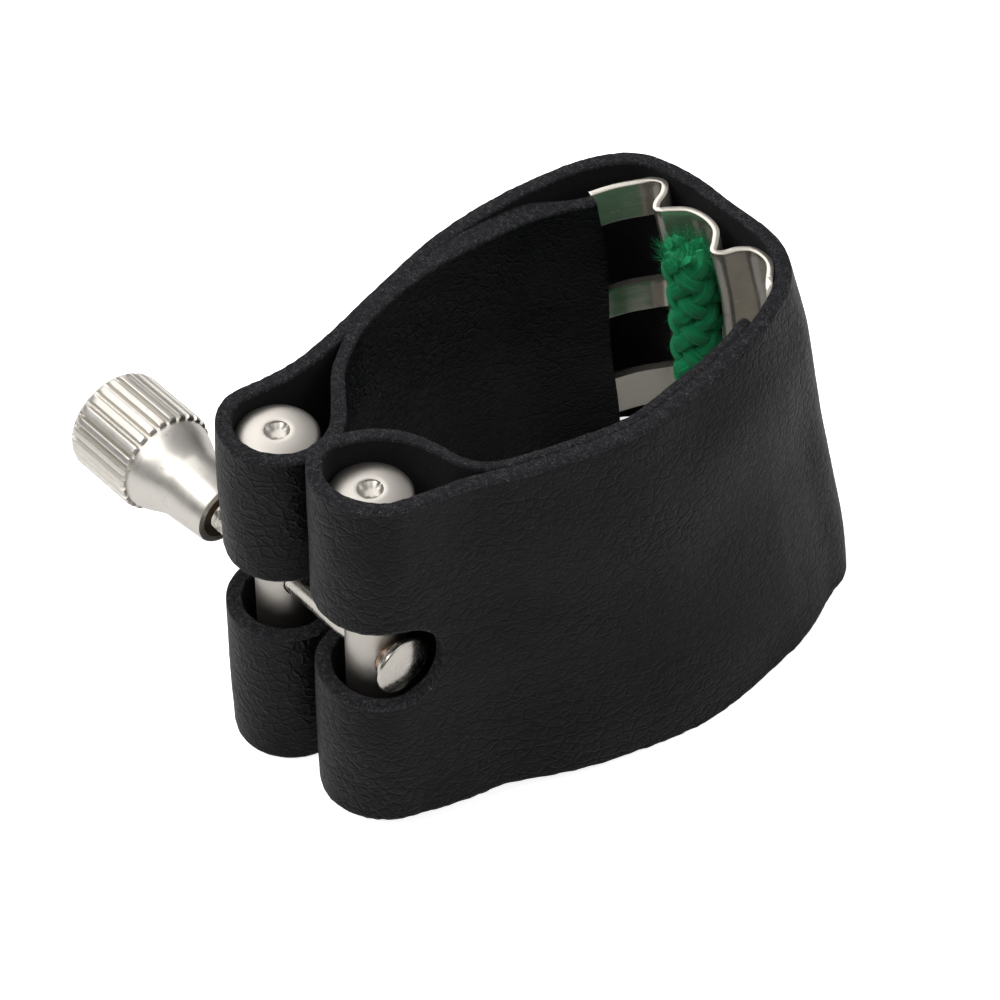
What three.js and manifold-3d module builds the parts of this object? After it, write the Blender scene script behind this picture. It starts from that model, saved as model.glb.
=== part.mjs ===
// Saxophone ligature: a folded leather band with two pins in its end loops, drawn together
// by a cross bolt and a thumb nut, and a sprung metal reed plate with a cord down its channel.
// Millimetres. +Z is the mouthpiece axis, -Y the pins, +Y the reed plate, the bolt lies along X.
import * as THREE from 'three';
import { mergeVertices } from 'three/addons/utils/BufferGeometryUtils.js';
import Module from 'manifold-3d';

const wasm = await Module();
wasm.setup();

// Leather band
const BAND_HEIGHT = 29;
const LEATHER = 1.15;
const GLUE_BITE = 0.05; // how far the glued lining sinks into the outer layer
const BACK_Y = 19.8; // centre of the leather at the middle of the back
const HINGE_Y = 16.6; // where the single layer flexes, at the corners of the back
const HINGE_GAP = 0.35;
const LINING_START_Y = -6.2;
const LINING_END_Y_LEFT = 15.0;
const LINING_END_Y_RIGHT = 12.2;
// The right end of the strap stands a little higher than the left
const RIGHT_TOP_LIFT = 2.8;
const RIGHT_BOTTOM_LIFT = 2.0;
const LIFT_FULL_Y = -20;
const LIFT_NONE_Y = 8;

// The band is wider at its lower edge: side walls lean out and the back leans back
const FLARE_SIDE = 3.9;
const FLARE_BACK = 4.5;
const FLARE_LEAN_X = 1.2; // the whole lower edge of the back also sits a little to the right
const FLARE_START_Y = -14;
const FLARE_SIDE_FULL = 0.62; // share of the run from front to back where the sides lean fully
const FLARE_SIDE_FROM_X = 3.5;
const FLARE_SIDE_TO_X = 10.5;
// The middle of each side leans less than its ends; the right side leans a little less still,
// but bulges at the foot of its loop. Each effect grows from nothing to its depth over x and y.
const SIDE_HOLLOW = { depth: 0.6, x: [3.5, 8], y: [-8, -1] };
const RIGHT_HOLLOW = { depth: 0.35, x: [5, 8], y: [-16, -12] };
const RIGHT_BULGE = { depth: 1.1, x: [5, 8], y: -13.4, spread: 2.6 };
const HOLLOW_FADE_Y = [14.5, 18.5];

// End loops and the slots cut across their folds
const PIN_X = 4.7;
const PIN_Y = -16.6;
// Half width and half depth of each loop, to the middle of the leather
const LEFT_LOOP = [3.575, 3.5];
const RIGHT_LOOP = [3.75, 3.5];
const LEFT_SLOT = { z: 15.3, y: -17, radius: 2.8 };
const RIGHT_SLOT = { z: 17.0, y: -18, radius: 3.45 };
const BOLT_Z = 15.7;

// Turned pins
const PIN_RADIUS = 2.0;
const PIN_HEAD_RADIUS = 2.7;
const PIN_HEAD_RIM = 0.7;
const PIN_DOME_HEIGHT = 0.62;
const PIN_DIMPLE_RADIUS = 0.8;
const PIN_DIMPLE_DEPTH = 0.35;
const PIN_END_INSET = 0.4; // below each edge of the band
const RIGHT_PIN_LIFT = 1.8;

// Cross bolt
const BOLT_RADIUS = 1.25;
const BOLT_FIXED_FIT = 0.02;
const BOLT_SLIDING_FIT = 0.15;
const BOLT_COLLAR_RADIUS = 1.7;
const BOLT_NECK_RADIUS = 1.5;
const BOLT_HEAD_RADIUS = 2.15;
const BOLT_HEAD_X = 7.15;
const BOLT_HEAD_FACE_X = 8.15;
const BOLT_END_X = -21.6;
const BOLT_END_CHAMFER = 0.4;

// Thumb nut
const NUT_INNER_X = -10.9;
const NUT_NECK_X = -14.6;
const NUT_KNURL_X = -17.3;
const NUT_OUTER_X = -23.5;
const NUT_RADIUS = 3.85;
const NUT_ROOT_RADIUS = 3.5;
const NUT_NECK_RADIUS = 2.35;
const NUT_FLUTES = 26;
const NUT_EDGE_ROUND = 0.9;
const NUT_BORE_RADIUS = 1.35;
const NUT_BORE_END_X = -22.2;
const NUT_COUNTERSINK = 0.4;

// Reed plate and cord
const PLATE_THICKNESS = 0.45;
const PLATE_X = -1; // the plate and its cord sit a little left of the middle
const PLATE_BOTTOM_Z = 4.2;
const PLATE_TOP_Z = 28.3;
const PLATE_WINDOW_HEIGHT = 6.9;
const PLATE_MIDDLE_BAR = 2.9;
const PLATE_WINDOW_FROM_X = -6.2;
const PLATE_WINDOW_TO_X = -4.0;
const CHANNEL_SLOT = [-1.2, 1.2];
const CORD_RADIUS = 1.9;
const CORD_X = -0.75;
const CORD_Y = 15.8;
const CORD_BOTTOM_Z = 4.8;
const CORD_TOP_Z = 27.0;
const CORD_END_ROUND = 0.35;

const ROUND_SEGMENTS = 36;
const THROUGH = 24; // long enough to pass right through whatever it cuts
const CUT_CLEARANCE = 0.15; // no point of a line lies closer than this to its cut end

// ---------------------------------------------------------------- helpers

function vec(x, y) {
  return new THREE.Vector2(x, y);
}

function spline(points) {
  const path = points.map(([x, y]) => new THREE.Vector3(x, y, 0));
  return new THREE.CatmullRomCurve3(path, false, 'centripetal');
}

function sample(curve, count) {
  return curve.getSpacedPoints(count).map((p) => vec(p.x, p.y));
}

// Unit normals of an open line, to the left of its direction
function normals(line) {
  return line.map((_, i) => {
    const before = line[Math.max(i - 1, 0)];
    const after = line[Math.min(i + 1, line.length - 1)];
    return vec(before.y - after.y, after.x - before.x).normalize();
  });
}

function offset(line, distance) {
  const side = normals(line);
  return line.map((p, i) => p.clone().addScaledVector(side[i], distance));
}

// Closed outline of a strip of the given thickness centred on a line
function strip(line, thickness) {
  const left = offset(line, thickness / 2);
  const right = offset(line, -thickness / 2).reverse();
  return new THREE.Shape([...left, ...right]);
}

function mirrored(line) {
  return line.map((p) => vec(-p.x, p.y));
}

// The part of a line from back to front between two values of y, with exact ends
function between(line, fromY, toY) {
  const points = [];
  for (let i = 1; i < line.length; i += 1) {
    const [a, b] = [line[i - 1], line[i]];
    for (const y of [fromY, toY]) {
      if (a.y > y && b.y <= y) {
        points.push(a.clone().lerp(b, (a.y - y) / (a.y - b.y)));
      }
    }
    if (b.y < fromY - CUT_CLEARANCE && b.y > toY + CUT_CLEARANCE) {
      points.push(b.clone());
    }
  }
  return points;
}

function upright(shape, bottom, top) {
  const geometry = new THREE.ExtrudeGeometry(shape, { depth: top - bottom, bevelEnabled: false });
  geometry.translate(0, 0, bottom);
  return geometry;
}

// A turned body about the X axis from [x, radius] points
function turnedAlongX(profile) {
  const geometry = new THREE.LatheGeometry(profile.map(([x, r]) => vec(r, x)), ROUND_SEGMENTS);
  geometry.rotateZ(-Math.PI / 2);
  return geometry;
}

// A turned body about the Z axis from [radius, z] points
function turnedAlongZ(profile) {
  const geometry = new THREE.LatheGeometry(profile.map(([r, z]) => vec(r, z)), ROUND_SEGMENTS);
  geometry.rotateX(Math.PI / 2);
  return geometry;
}

function solid(geometry) {
  geometry.deleteAttribute('normal');
  geometry.deleteAttribute('uv');
  const welded = mergeVertices(geometry, 1e-5);
  return new wasm.Manifold(new wasm.Mesh({
    numProp: 3,
    vertProperties: new Float32Array(welded.attributes.position.array),
    triVerts: new Uint32Array(welded.index.array),
  }));
}

function toGeometry(manifold) {
  const mesh = manifold.getMesh();
  const geometry = new THREE.BufferGeometry();
  geometry.setAttribute('position', new THREE.BufferAttribute(new Float32Array(mesh.vertProperties), 3));
  geometry.setIndex(new THREE.BufferAttribute(new Uint32Array(mesh.triVerts), 1));
  return geometry;
}

function box(x, y, z) {
  const geometry = new THREE.BoxGeometry(x[1] - x[0], y[1] - y[0], z[1] - z[0]);
  geometry.translate((x[0] + x[1]) / 2, (y[0] + y[1]) / 2, (z[0] + z[1]) / 2);
  return solid(geometry);
}

const { smoothstep } = THREE.MathUtils;

function ramp(value, from, to) {
  return THREE.MathUtils.clamp((value - from) / (to - from), 0, 1);
}

// Change of the sideways lean at the lower edge
function hollow(x, y) {
  const { depth, x: acrossSide, y: alongSide } = SIDE_HOLLOW;
  const sides = -Math.sign(x) * depth * ramp(Math.abs(x), ...acrossSide) * smoothstep(y, ...alongSide);
  const right = -RIGHT_HOLLOW.depth * ramp(x, ...RIGHT_HOLLOW.x) * smoothstep(y, ...RIGHT_HOLLOW.y);
  const fromFoot = (y - RIGHT_BULGE.y) / RIGHT_BULGE.spread;
  const foot = RIGHT_BULGE.depth * ramp(x, ...RIGHT_BULGE.x) * Math.exp(-(fromFoot ** 2));
  return (sides + right + foot) * (1 - smoothstep(y, ...HOLLOW_FADE_Y));
}

// Leans the band, plate and cord outwards towards the lower edge
function flare(geometry) {
  const position = geometry.attributes.position;
  for (let i = 0; i < position.count; i += 1) {
    const x = position.getX(i);
    const y = position.getY(i);
    const down = 1 - position.getZ(i) / BAND_HEIGHT;
    const along = ramp(y, FLARE_START_Y, BACK_Y);
    const outer = ramp(Math.abs(x), FLARE_SIDE_FROM_X, FLARE_SIDE_TO_X);
    const swell = Math.sin(ramp(along, 0, FLARE_SIDE_FULL) * Math.PI / 2);
    const lean = Math.sign(x) * FLARE_SIDE * outer * swell + FLARE_LEAN_X * along;
    position.setX(i, x + (lean + hollow(x, y)) * down);
    position.setY(i, y + FLARE_BACK * along * down);
  }
  return geometry;
}

// ---------------------------------------------------------------- band

// Middle of the outer leather layer, from the back centre round each side to its loop.
// Both are written for +x; the left one is mirrored when it is used.
const BACK_CENTRE = [0, BACK_Y];
const LEFT_SIDE = sample(spline([
  BACK_CENTRE, [4.7, 19.65], [8.0, 18.45], [9.9, 15.5], [10.75, 11], [10.95, 6],
  [10.7, 1.5], [9.65, -3.6], [8.45, -8.4], [8.0, -12], [PIN_X + LEFT_LOOP[0], PIN_Y],
]), 64);
const RIGHT_SIDE = sample(spline([
  BACK_CENTRE, [4.5, 19.5], [7.15, 17.85], [8.6, 15.1], [9.85, 10.9], [10.85, 5.5],
  [11.3, 0.8], [10.95, -3.6], [10.0, -8.2], [8.95, -12.4], [PIN_X + RIGHT_LOOP[0], PIN_Y],
]), 64);
// Where the strip leaves the loop and crosses back to lie against the outer layer
const LEFT_CROSSING = [[1.3, -14.4], [2.9, -11.9], [5.3, -9.4], [7.05, -7.3]];
const RIGHT_CROSSING = [[1.6, -14.4], [3.3, -12.6], [5.3, -11.4], [7.0, -10.1], [8.1, -8.5]];

function loopArc([across, deep], fromDegrees, toDegrees) {
  const count = 14;
  const points = [];
  for (let i = 0; i <= count; i += 1) {
    const angle = THREE.MathUtils.degToRad(THREE.MathUtils.lerp(fromDegrees, toDegrees, i / count));
    points.push(vec(PIN_X + across * Math.cos(angle), PIN_Y + deep * Math.sin(angle)));
  }
  return points;
}

function arm({ side, loop, crossing, liningEndY, slot, lifts, place }) {
  const free = between(side, HINGE_Y - HINGE_GAP / 2, PIN_Y);
  const outer = [...free, ...loopArc(loop, 0, -100).slice(1)];
  const glued = between(offset(side, -(LEATHER - GLUE_BITE)), liningEndY, LINING_START_Y).reverse();
  const start = [PIN_X - loop[0], PIN_Y];
  const cross = spline([start, ...crossing, glued[0].toArray(), glued[2].toArray()]);
  const inner = [...loopArc(loop, -80, -180), ...sample(cross, 20).slice(1), ...glued.slice(3)];
  const layers = [outer, inner].map((line) => solid(upright(strip(place(line), LEATHER), 0, BAND_HEIGHT)));
  const slotZ = slot.z - (lifts[0] + lifts[1]) / 2;
  const slotEnd = new THREE.CylinderGeometry(slot.radius, slot.radius, THROUGH, ROUND_SEGMENTS);
  slotEnd.rotateZ(Math.PI / 2);
  slotEnd.translate(0, slot.y, slotZ);
  const slotMouth = box(
    [-THROUGH / 2, THROUGH / 2], [slot.y - THROUGH, slot.y], [slotZ - slot.radius, slotZ + slot.radius],
  );
  const leather = layers[0].add(layers[1]).subtract(solid(slotEnd)).subtract(slotMouth);
  return raiseFront(flare(toGeometry(leather)), lifts);
}

// Slants a strap arm so that its loop stands higher than its back end, by [bottom, top] lifts
function raiseFront(geometry, lifts) {
  const position = geometry.attributes.position;
  for (let i = 0; i < position.count; i += 1) {
    const z = position.getZ(i);
    const part = 1 - smoothstep(position.getY(i), LIFT_FULL_Y, LIFT_NONE_Y);
    position.setZ(i, z + part * THREE.MathUtils.lerp(lifts[0], lifts[1], z / BAND_HEIGHT));
  }
  return geometry;
}

function leftArm() {
  return arm({
    side: LEFT_SIDE, loop: LEFT_LOOP, crossing: LEFT_CROSSING, liningEndY: LINING_END_Y_LEFT,
    slot: LEFT_SLOT, lifts: [0, 0], place: mirrored,
  });
}

function rightArm() {
  return arm({
    side: RIGHT_SIDE, loop: RIGHT_LOOP, crossing: RIGHT_CROSSING, liningEndY: LINING_END_Y_RIGHT,
    slot: RIGHT_SLOT, lifts: [RIGHT_BOTTOM_LIFT, RIGHT_TOP_LIFT], place: (line) => line,
  });
}

function bandBack() {
  const cutY = HINGE_Y + HINGE_GAP / 2;
  const right = between(RIGHT_SIDE, BACK_Y + 1, cutY);
  const left = between(LEFT_SIDE, BACK_Y + 1, cutY);
  const line = [...mirrored(left).reverse(), vec(...BACK_CENTRE), ...right];
  return flare(toGeometry(solid(upright(strip(line, LEATHER), 0, BAND_HEIGHT))));
}

// ---------------------------------------------------------------- reed plate and cord

// Middle of the sheet from the middle of the channel: channel and inward ridge, then each wing
const CHANNEL = [[0, 18.3], [1.3, 18.0], [2.2, 17.1], [2.8, 16.4]];
const RIGHT_WING = [[3.3, 16.7], [3.75, 17.75], [4.5, 18.5], [5.9, 18.4], [7.1, 17.2], [8.2, 15.3], [8.9, 12.9]];
const LEFT_WING = [[3.25, 16.8], [3.75, 17.95], [4.45, 18.5], [5.1, 18.2], [5.65, 17.3], [6.4, 15.7], [7.0, 13.7]];

function reedPlate() {
  const right = sample(spline([...CHANNEL, ...RIGHT_WING]), 34);
  const left = sample(spline([...CHANNEL, ...LEFT_WING]), 34);
  const clear = left.filter((p) => p.y > LINING_END_Y_LEFT + HINGE_GAP);
  const line = [...mirrored(clear).slice(1).reverse(), ...right].map((p) => vec(p.x + PLATE_X, p.y));
  let plate = solid(upright(strip(line, PLATE_THICKNESS), PLATE_BOTTOM_Z, PLATE_TOP_Z));
  const middle = (PLATE_BOTTOM_Z + PLATE_TOP_Z) / 2;
  const depth = [BACK_Y - THROUGH / 2, BACK_Y + THROUGH / 2];
  for (const way of [-1, 1]) {
    const near = middle + way * PLATE_MIDDLE_BAR / 2;
    const far = near + way * PLATE_WINDOW_HEIGHT;
    const span = [Math.min(near, far), Math.max(near, far)];
    for (const [from, to] of [[PLATE_WINDOW_FROM_X, PLATE_WINDOW_TO_X], CHANNEL_SLOT]) {
      plate = plate.subtract(box([PLATE_X + from, PLATE_X + to], depth, span));
    }
  }
  return flare(toGeometry(plate));
}

function reedCord() {
  const r = CORD_RADIUS;
  const cord = turnedAlongZ([
    [0, CORD_BOTTOM_Z], [r - CORD_END_ROUND, CORD_BOTTOM_Z], [r, CORD_BOTTOM_Z + CORD_END_ROUND],
    [r, CORD_TOP_Z - CORD_END_ROUND], [r - CORD_END_ROUND, CORD_TOP_Z], [0, CORD_TOP_Z],
  ]);
  cord.translate(CORD_X, CORD_Y, 0);
  return flare(toGeometry(solid(cord)));
}

// ---------------------------------------------------------------- pins, bolt and nut

// Head profile from the shaft out to the dimple in the crown; end is the outermost z, up is +-1
function pinHead(end, up) {
  const rimTop = end - up * PIN_DOME_HEIGHT;
  const points = [[PIN_RADIUS, rimTop - up * PIN_HEAD_RIM], [PIN_HEAD_RADIUS, rimTop - up * PIN_HEAD_RIM]];
  const start = Math.acos(PIN_DIMPLE_RADIUS / PIN_HEAD_RADIUS);
  for (let i = 0; i <= 6; i += 1) {
    const angle = start * i / 6;
    points.push([PIN_HEAD_RADIUS * Math.cos(angle), rimTop + up * PIN_DOME_HEIGHT * Math.sin(angle)]);
  }
  points.push([0, end - up * PIN_DIMPLE_DEPTH]);
  return points;
}

function pin(x, fit, lift) {
  const lower = pinHead(PIN_END_INSET, -1).reverse();
  const upper = pinHead(BAND_HEIGHT - PIN_END_INSET, 1);
  const body = turnedAlongZ([...lower, ...upper]);
  body.translate(x, PIN_Y, lift);
  const bore = new THREE.CylinderGeometry(BOLT_RADIUS + fit, BOLT_RADIUS + fit, THROUGH, ROUND_SEGMENTS);
  bore.rotateZ(Math.PI / 2);
  bore.translate(x, PIN_Y, BOLT_Z);
  return toGeometry(solid(body).subtract(solid(bore)));
}

function onBoltAxis(geometry) {
  geometry.translate(0, PIN_Y, BOLT_Z);
  return geometry;
}

function clampBolt() {
  const seat = PIN_X + PIN_RADIUS + BOLT_FIXED_FIT;
  const ring = (BOLT_HEAD_X - seat) / 2;
  return onBoltAxis(turnedAlongX([
    [BOLT_END_X, 0], [BOLT_END_X, BOLT_RADIUS - BOLT_END_CHAMFER],
    [BOLT_END_X + BOLT_END_CHAMFER, BOLT_RADIUS], [seat, BOLT_RADIUS],
    [seat, BOLT_NECK_RADIUS], [seat + ring, BOLT_NECK_RADIUS],
    [seat + ring, BOLT_COLLAR_RADIUS], [BOLT_HEAD_X, BOLT_COLLAR_RADIUS],
    [BOLT_HEAD_X + 0.45, BOLT_HEAD_RADIUS], [BOLT_HEAD_X + 0.6, BOLT_HEAD_RADIUS], [BOLT_HEAD_FACE_X, 0],
  ]));
}

// Cross-section of the grip: wide ridges with narrow round-bottomed flutes between them
function knurlShape() {
  const points = [];
  const pitch = 2 * Math.PI / NUT_FLUTES;
  for (let i = 0; i < NUT_FLUTES; i += 1) {
    const marks = [[0.2, NUT_RADIUS], [0.8, NUT_RADIUS], [0.9, NUT_ROOT_RADIUS], [1.1, NUT_ROOT_RADIUS]];
    for (const [part, radius] of marks) {
      const angle = (i + part) * pitch;
      points.push(vec(radius * Math.cos(angle), radius * Math.sin(angle)));
    }
  }
  return new THREE.Shape(points);
}

function thumbNut() {
  const grip = new THREE.ExtrudeGeometry(knurlShape(), {
    depth: NUT_KNURL_X - NUT_OUTER_X, bevelEnabled: false,
  });
  grip.rotateY(Math.PI / 2);
  grip.translate(NUT_OUTER_X, 0, 0);
  const round = NUT_EDGE_ROUND;
  const cap = [[NUT_OUTER_X, 0]];
  for (let i = 0; i <= 4; i += 1) {
    const angle = i / 4 * Math.PI / 2;
    cap.push([NUT_OUTER_X + round * (1 - Math.sin(angle)), NUT_RADIUS - round * (1 - Math.cos(angle))]);
  }
  const rounded = [cap[0], ...cap.slice(1).reverse(), [NUT_KNURL_X, NUT_RADIUS], [NUT_KNURL_X, 0]];
  const envelope = solid(turnedAlongX(rounded));
  const shoulder = [];
  for (let i = 0; i <= 8; i += 1) {
    const part = i / 8;
    const blend = (1 - Math.cos(part * Math.PI)) / 2;
    shoulder.push([
      THREE.MathUtils.lerp(NUT_KNURL_X, NUT_NECK_X, part),
      THREE.MathUtils.lerp(NUT_ROOT_RADIUS, NUT_NECK_RADIUS + 0.25, blend),
    ]);
  }
  const core = solid(turnedAlongX([
    [NUT_OUTER_X + NUT_EDGE_ROUND, 0], [NUT_OUTER_X + NUT_EDGE_ROUND, NUT_ROOT_RADIUS - 0.05],
    ...shoulder, [NUT_INNER_X, NUT_NECK_RADIUS], [NUT_INNER_X, 0],
  ]));
  const bore = solid(turnedAlongX([
    [NUT_BORE_END_X, 0], [NUT_BORE_END_X, NUT_BORE_RADIUS],
    [NUT_INNER_X - NUT_COUNTERSINK, NUT_BORE_RADIUS],
    [NUT_INNER_X + 1, NUT_BORE_RADIUS + 1 + NUT_COUNTERSINK], [NUT_INNER_X + 1, 0],
  ]));
  return onBoltAxis(toGeometry(solid(grip).intersect(envelope).add(core).subtract(bore)));
}

// ---------------------------------------------------------------- assembly

function piece(name, geometry, color, roughness, metalness) {
  geometry.computeVertexNormals();
  const mesh = new THREE.Mesh(geometry, new THREE.MeshStandardMaterial({ color, roughness, metalness }));
  mesh.name = name;
  return mesh;
}

const LEATHER_LOOK = [0x141416, 0.6, 0];
const NICKEL_LOOK = [0xb9b4aa, 0.28, 1];

const ligature = new THREE.Group();
ligature.name = 'ligature';
ligature.add(
  piece('strap_back', bandBack(), ...LEATHER_LOOK),
  piece('strap_arm_left', leftArm(), ...LEATHER_LOOK),
  piece('strap_arm_right', rightArm(), ...LEATHER_LOOK),
  piece('pin_left', pin(-PIN_X, BOLT_SLIDING_FIT, 0), ...NICKEL_LOOK),
  piece('pin_right', pin(PIN_X, BOLT_FIXED_FIT, RIGHT_PIN_LIFT), ...NICKEL_LOOK),
  piece('clamp_bolt', toGeometry(solid(clampBolt())), ...NICKEL_LOOK),
  piece('thumb_nut', thumbNut(), ...NICKEL_LOOK),
  piece('reed_plate', reedPlate(), ...NICKEL_LOOK),
  piece('reed_cord', reedCord(), 0x0b8a45, 0.9, 0),
);

// The row's origin is under the middle of the whole object
const bounds = new THREE.Box3().setFromObject(ligature);
const centre = bounds.getCenter(new THREE.Vector3());
for (const mesh of ligature.children) {
  mesh.geometry.translate(-centre.x, -centre.y, -bounds.min.z);
}

export default ligature;
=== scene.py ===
"""Looks of the saxophone ligature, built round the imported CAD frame.

Shapes are worked out in design millimetres (the pins at x = +-PIN_X, y = PIN_Y, the lower rim at z = 0)
and moved to the row frame at the end by to_row().
"""

import math
import random

import bmesh
import bpy
import numpy as np
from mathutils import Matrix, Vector, noise

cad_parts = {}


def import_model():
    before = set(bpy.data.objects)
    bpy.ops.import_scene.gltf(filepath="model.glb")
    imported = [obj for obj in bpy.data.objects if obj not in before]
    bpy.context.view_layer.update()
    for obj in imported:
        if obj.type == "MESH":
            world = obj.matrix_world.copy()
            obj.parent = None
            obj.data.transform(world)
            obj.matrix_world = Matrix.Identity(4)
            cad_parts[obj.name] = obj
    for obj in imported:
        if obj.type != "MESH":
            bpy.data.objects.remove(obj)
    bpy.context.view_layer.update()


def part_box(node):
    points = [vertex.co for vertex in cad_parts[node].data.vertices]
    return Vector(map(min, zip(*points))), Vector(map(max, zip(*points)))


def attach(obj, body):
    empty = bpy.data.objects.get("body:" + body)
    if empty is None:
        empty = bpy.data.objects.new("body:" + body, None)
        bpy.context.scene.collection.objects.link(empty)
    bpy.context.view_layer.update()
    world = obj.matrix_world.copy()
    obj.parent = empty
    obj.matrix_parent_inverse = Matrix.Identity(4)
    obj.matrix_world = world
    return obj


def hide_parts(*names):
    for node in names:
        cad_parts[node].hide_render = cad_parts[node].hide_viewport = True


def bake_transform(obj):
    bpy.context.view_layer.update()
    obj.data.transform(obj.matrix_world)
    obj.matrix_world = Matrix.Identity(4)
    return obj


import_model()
MM = 0.001
noise.seed_set(11)  # noise_vector() starts from the clock without it

# ------------------------------------------------------------------ sizes, in millimetres
HEIGHT = 29.0
LEATHER = 1.1
PIN_X = 4.7
PIN_Y = -16.6
PIN_LIFT = 1.8
BACK_Y = 19.8
BOLT_Z = 15.7

# The band widens downwards: reach of the lower edge beyond the upper one
FLARE_SIDE = 3.9
FLARE_BACK = 4.55
FLARE_LEAN_X = 1.2
SIDE_HOLLOW = 0.6
RIGHT_HOLLOW = 0.35
RIGHT_BULGE = 1.1
RIGHT_BULGE_Y = -13.4
RIGHT_BULGE_SPREAD = 2.6
LIFT_FROM_Y = -20.0
LIFT_TO_Y = 8.0

# Each end of the strap: (half width, half depth) of the loop, (z, y, radius) of the slot's rounded end,
# and the lifts of the lower edge, the upper edge and the front of the loop's rim
LEFT_LOOP = (3.575, 3.45)
RIGHT_LOOP = (3.75, 3.42)
LEFT_SLOT = (15.3, -17.0, 2.8)
RIGHT_SLOT = (17.05, -18.0, 3.42)
LEFT_LIFTS = (0.1, 0.0, 0.6)
RIGHT_LIFTS = (2.0, 2.6, 0.9)

LEFT_PIN = sum(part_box("pin_left"), Vector()) / 2 / MM
RIGHT_PIN = sum(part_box("pin_right"), Vector()) / 2 / MM
SHIFT = np.array([(LEFT_PIN.x + RIGHT_PIN.x) / 2, LEFT_PIN.y - PIN_Y, 0.0])

# Middle of the leather seen from above, written for +x: each side, and the way from its loop back to it
LEFT_SIDE = [
    (4.7, 19.65), (8.0, 18.45), (9.9, 15.5), (10.75, 11), (10.95, 6), (10.7, 1.5), (9.65, -3.6),
    (8.45, -8.4), (8.0, -12),
]
RIGHT_SIDE = [
    (4.5, 19.5), (7.15, 17.85), (8.65, 15.1), (9.95, 10.9), (10.97, 5.5), (11.42, 0.8), (11.08, -3.6),
    (10.1, -8.2), (8.95, -12.4),
]
LEFT_CROSSING = [(1.35, -15.2), (2.1, -13.7), (3.75, -12.1), (5.85, -10.3), (6.8, -9.05), (7.75, -7.5)]
RIGHT_CROSSING = [(1.25, -15.3), (1.85, -13.8), (3.5, -12.15), (5.4, -11.4), (7.2, -10.95), (8.35, -10.1)]

# Middle of the reed plate's sheet from the middle of its channel: channel and ridge, then each wing
PLATE_X = -1.0
PLATE_Z = (4.2, 28.3)
PLATE_THICKNESS = 0.45
CHANNEL = [(0, 18.3), (1.3, 18.0), (2.2, 17.1), (2.8, 16.4)]
RIGHT_WING = [(3.3, 16.7), (3.75, 17.75), (4.5, 18.5), (5.9, 18.5), (7.2, 17.3), (8.3, 15.4), (9.0, 12.9)]
LEFT_WING = [(3.25, 16.8), (3.75, 17.95), (4.45, 18.6), (5.1, 18.3), (5.65, 17.3), (6.4, 15.7), (7.0, 13.7)]
CORD_X = -0.75
CORD_Y = 15.8
CORD_Z = (4.8, 27.0)

PIN_LOW_Z = 0.4
PIN_LENGTH = 28.2
PIN_RADIUS = 2.02
PIN_HEAD_RADIUS = 2.84
SHANK_RADIUS = 1.25
THREAD_PITCH = 0.45


# ------------------------------------------------------------------ curves
def resample(line, step):
    """The same polyline with evenly spaced points."""
    line = np.asarray(line, float)
    along = np.r_[0, np.cumsum(np.linalg.norm(np.diff(line, axis=0), axis=1))]
    count = max(2, int(round(along[-1] / step)) + 1)
    at = np.linspace(0, along[-1], count)
    return np.stack([np.interp(at, along, line[:, i]) for i in range(line.shape[1])], 1)


def spline(points, step, before=None):
    """Centripetal Catmull-Rom curve through points; before is a point ahead of the first."""
    p = np.array(points, float)
    first = np.array(before, float) if before is not None else 2 * p[0] - p[1]
    p = np.vstack([first, p, 2 * p[-1] - p[-2]])
    out = []
    for i in range(1, len(p) - 2):
        a, b, c, d = p[i - 1:i + 3]
        t0 = 0.0
        t1 = t0 + np.linalg.norm(b - a) ** 0.5
        t2 = t1 + np.linalg.norm(c - b) ** 0.5
        t3 = t2 + np.linalg.norm(d - c) ** 0.5
        for t in np.linspace(t1, t2, 30, endpoint=False):
            ab = (t1 - t) / (t1 - t0) * a + (t - t0) / (t1 - t0) * b
            bc = (t2 - t) / (t2 - t1) * b + (t - t1) / (t2 - t1) * c
            cd = (t3 - t) / (t3 - t2) * c + (t - t2) / (t3 - t2) * d
            abc = (t2 - t) / (t2 - t0) * ab + (t - t0) / (t2 - t0) * bc
            bcd = (t3 - t) / (t3 - t1) * bc + (t - t1) / (t3 - t1) * cd
            out.append((t2 - t) / (t2 - t1) * abc + (t - t1) / (t2 - t1) * bcd)
    out.append(p[-2])
    return resample(out, step)


def left_normals(line):
    """Unit normals to the left of an open 2D line."""
    ahead = np.vstack([line[1:], 2 * line[-1] - line[-2]])
    behind = np.vstack([2 * line[0] - line[1], line[:-1]])
    t = ahead - behind
    t /= np.linalg.norm(t, axis=1)[:, None]
    return np.stack([-t[:, 1], t[:, 0]], 1)


def ramp(value, start, end):
    return np.clip((value - start) / (end - start), 0, 1)


def smooth(value, start, end):
    t = ramp(value, start, end)
    return t * t * (3 - 2 * t)


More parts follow.
